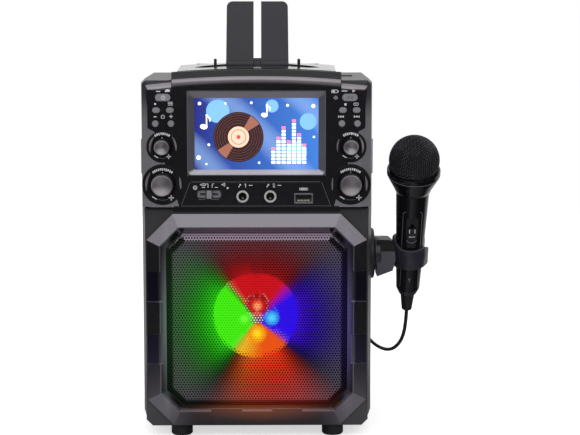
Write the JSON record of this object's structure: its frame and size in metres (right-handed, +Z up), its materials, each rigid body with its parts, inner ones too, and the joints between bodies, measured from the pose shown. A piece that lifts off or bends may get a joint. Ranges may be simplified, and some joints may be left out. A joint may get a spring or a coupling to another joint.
{
  "type": "karaoke machine",
  "caption": "Upright karaoke machine with top-loading disc player, colour screen, lit octagonal speaker grille, fold-up tablet rest and a corded microphone in a swivel clip.",
  "frame": {"origin": "bottom centre of the machine with its microphone, on the surface that the feet stand on", "axes": "+Z up, -Y towards the person who faces the screen, +X to their right, where the microphone is"},
  "size_m": [0.2377, 0.2136, 0.3424],
  "materials": {
    "charcoal_satin": "satin charcoal moulded plastic",
    "black_satin": "fine-textured black moulded plastic",
    "black_gloss": "polished black plastic",
    "frame_graphite": "graphite metallic lacquer on plastic",
    "trim_silver": "warm grey metallic trim",
    "grille_black": "black powder-coated perforated steel",
    "cone_paper": "pressed speaker paper",
    "steel_parts": "nickel-plated steel",
    "screen_glass": "clear anti-glare window",
    "screen_module": "lit colour display",
    "button_grey": "satin grey keys",
    "knob_silver": "satin silver-grey knob caps",
    "rubber_black": "soft black rubber",
    "light_red": "lit light lenses",
    "board_green": "green circuit board",
    "pack_blue": "blue shrink-wrapped cells",
    "stand_graphite": "satin graphite plastic",
    "mic_black": "satin black plastic",
    "mic_mesh": "black woven steel mesh",
    "cord_black": "black vinyl cord"
  },
  "bodies": {
    "cabinet": {"main_shell": "charcoal_satin", "front_baffle": "charcoal_satin", "grille_frame": "frame_graphite", "speaker_grille": "grille_black", "speaker_basket": "steel_parts", "speaker_cone": "cone_paper", "light_bracket": "black_satin", "light_lenses": "light_red", "feet": "rubber_black", "console_shell": "charcoal_satin", "control_panel": "black_gloss", "brow_band": "trim_silver", "screen_bezel": "charcoal_satin", "screen_lens": "screen_glass", "lcd_module": "screen_module", "mic_jacks": "steel_parts", "usb_port": "steel_parts", "switch_base": "black_satin", "power_light": "light_red", "disc_deck": "black_satin", "guide_rods": "steel_parts", "spindle_motor": "steel_parts", "rear_cover": "charcoal_satin", "rear_sockets": "black_satin", "rear_screws": "steel_parts", "hinge_pins": "steel_parts", "main_board": "board_green", "amplifier_board": "board_green", "battery_pack": "pack_blue", "holder_base": "black_satin", "mic_cord": "cord_black", "mic_cord_coil": "cord_black", "mic_plug": "steel_parts"},
    "disc_door": {"door_panel": "black_gloss", "door_pins": "rubber_black"},
    "tablet_stand": {"tablet_stand": "stand_graphite"},
    "knob_echo": {"knob_echo": "knob_silver"},
    "knob_mic_volume": {"knob_mic_volume": "knob_silver"},
    "knob_balance": {"knob_balance": "knob_silver"},
    "knob_master_volume": {"knob_master_volume": "knob_silver"},
    "button_power": {"button_power": "button_grey"},
    "button_record": {"button_record": "button_grey"},
    "button_program": {"button_program": "button_grey"},
    "button_page_down": {"button_page_down": "button_grey"},
    "button_page_up": {"button_page_up": "button_grey"},
    "button_play": {"button_play": "button_grey"},
    "button_stop": {"button_stop": "button_grey"},
    "button_pair": {"button_pair": "button_grey"},
    "button_back": {"button_back": "button_grey"},
    "button_next": {"button_next": "button_grey"},
    "open_button": {"open_button": "black_satin"},
    "function_slider": {"function_slider": "black_satin"},
    "turntable": {"turntable": "black_satin"},
    "pickup_sled": {"pickup_sled": "black_satin"},
    "mic_holder": {"mic_holder": "black_satin"},
    "microphone": {"mic_handle": "mic_black", "mic_collar": "mic_black", "mic_ball": "mic_mesh", "mic_relief": "cord_black"},
    "mic_switch": {"mic_switch": "black_satin"}
  },
  "joints": [
    {"name": "door_lid", "type": "hinge", "parent": "cabinet", "child": "disc_door", "pos_m": [-0.0268, 0.0685, 0.2865], "axis": [-1, 0, 0], "range_deg": [0, 75]},
    {"name": "stand_fold", "type": "hinge", "parent": "disc_door", "child": "tablet_stand", "pos_m": [-0.0268, 0.0335, 0.2903], "axis": [1, 0, 0], "range_deg": [0, 104]},
    {"name": "knob_echo_turn", "type": "hinge", "parent": "cabinet", "child": "knob_echo", "pos_m": [-0.0995, -0.0765, 0.2309], "axis": [0, 1, 0], "range_deg": [-150, 150]},
    {"name": "knob_mic_volume_turn", "type": "hinge", "parent": "cabinet", "child": "knob_mic_volume", "pos_m": [-0.0995, -0.0765, 0.2016], "axis": [0, 1, 0], "range_deg": [-150, 150]},
    {"name": "knob_balance_turn", "type": "hinge", "parent": "cabinet", "child": "knob_balance", "pos_m": [0.0459, -0.0765, 0.2309], "axis": [0, 1, 0], "range_deg": [-150, 150]},
    {"name": "knob_master_volume_turn", "type": "hinge", "parent": "cabinet", "child": "knob_master_volume", "pos_m": [0.0459, -0.0765, 0.2016], "axis": [0, 1, 0], "range_deg": [-150, 150]},
    {"name": "button_power_press", "type": "slide", "parent": "cabinet", "child": "button_power", "axis": [0, 1, 0], "range_m": [0, 0.0008], "stiffness_N_per_m": 600, "springref_m": -0.001},
    {"name": "button_record_press", "type": "slide", "parent": "cabinet", "child": "button_record", "axis": [0, 1, 0], "range_m": [0, 0.0008], "stiffness_N_per_m": 600, "springref_m": -0.001},
    {"name": "button_program_press", "type": "slide", "parent": "cabinet", "child": "button_program", "axis": [0, 1, 0], "range_m": [0, 0.0008], "stiffness_N_per_m": 600, "springref_m": -0.001},
    {"name": "button_page_down_press", "type": "slide", "parent": "cabinet", "child": "button_page_down", "axis": [0, 1, 0], "range_m": [0, 0.0008], "stiffness_N_per_m": 600, "springref_m": -0.001},
    {"name": "button_page_up_press", "type": "slide", "parent": "cabinet", "child": "button_page_up", "axis": [0, 1, 0], "range_m": [0, 0.0008], "stiffness_N_per_m": 600, "springref_m": -0.001},
    {"name": "button_play_press", "type": "slide", "parent": "cabinet", "child": "button_play", "axis": [0, 1, 0], "range_m": [0, 0.0008], "stiffness_N_per_m": 600, "springref_m": -0.001},
    {"name": "button_stop_press", "type": "slide", "parent": "cabinet", "child": "button_stop", "axis": [0, 1, 0], "range_m": [0, 0.0008], "stiffness_N_per_m": 600, "springref_m": -0.001},
    {"name": "button_pair_press", "type": "slide", "parent": "cabinet", "child": "button_pair", "axis": [0, 1, 0], "range_m": [0, 0.0008], "stiffness_N_per_m": 600, "springref_m": -0.001},
    {"name": "button_back_press", "type": "slide", "parent": "cabinet", "child": "button_back", "axis": [0, 1, 0], "range_m": [0, 0.0008], "stiffness_N_per_m": 600, "springref_m": -0.001},
    {"name": "button_next_press", "type": "slide", "parent": "cabinet", "child": "button_next", "axis": [0, 1, 0], "range_m": [0, 0.0008], "stiffness_N_per_m": 600, "springref_m": -0.001},
    {"name": "open_button_press", "type": "slide", "parent": "cabinet", "child": "open_button", "axis": [0, 0, -1], "range_m": [0, 0.0015], "stiffness_N_per_m": 500, "springref_m": -0.002},
    {"name": "function_select", "type": "slide", "parent": "cabinet", "child": "function_slider", "axis": [1, 0, 0], "range_m": [-0.0055, 0.0055]},
    {"name": "disc_spin", "type": "hinge", "parent": "cabinet", "child": "turntable", "pos_m": [-0.0268, 0.0015, 0.27], "axis": [0, 0, 1], "continuous": true},
    {"name": "pickup_travel", "type": "slide", "parent": "cabinet", "child": "pickup_sled", "axis": [1, 0, 0], "range_m": [0, 0.031]},
    {"name": "holder_swivel", "type": "hinge", "parent": "cabinet", "child": "mic_holder", "pos_m": [0.0652, -0.0165, 0.139], "axis": [1, 0, 0], "range_deg": [-25, 20], "deforming": ["mic_cord"]},
    {"name": "mic_lift", "type": "slide", "parent": "mic_holder", "child": "microphone", "axis": [0, -0.4274, 0.9041], "range_m": [0, 0.11]},
    {"name": "mic_switch_slide", "type": "slide", "parent": "microphone", "child": "mic_switch", "axis": [0, -0.4274, 0.9041], "range_m": [0, 0.004]}
  ]
}
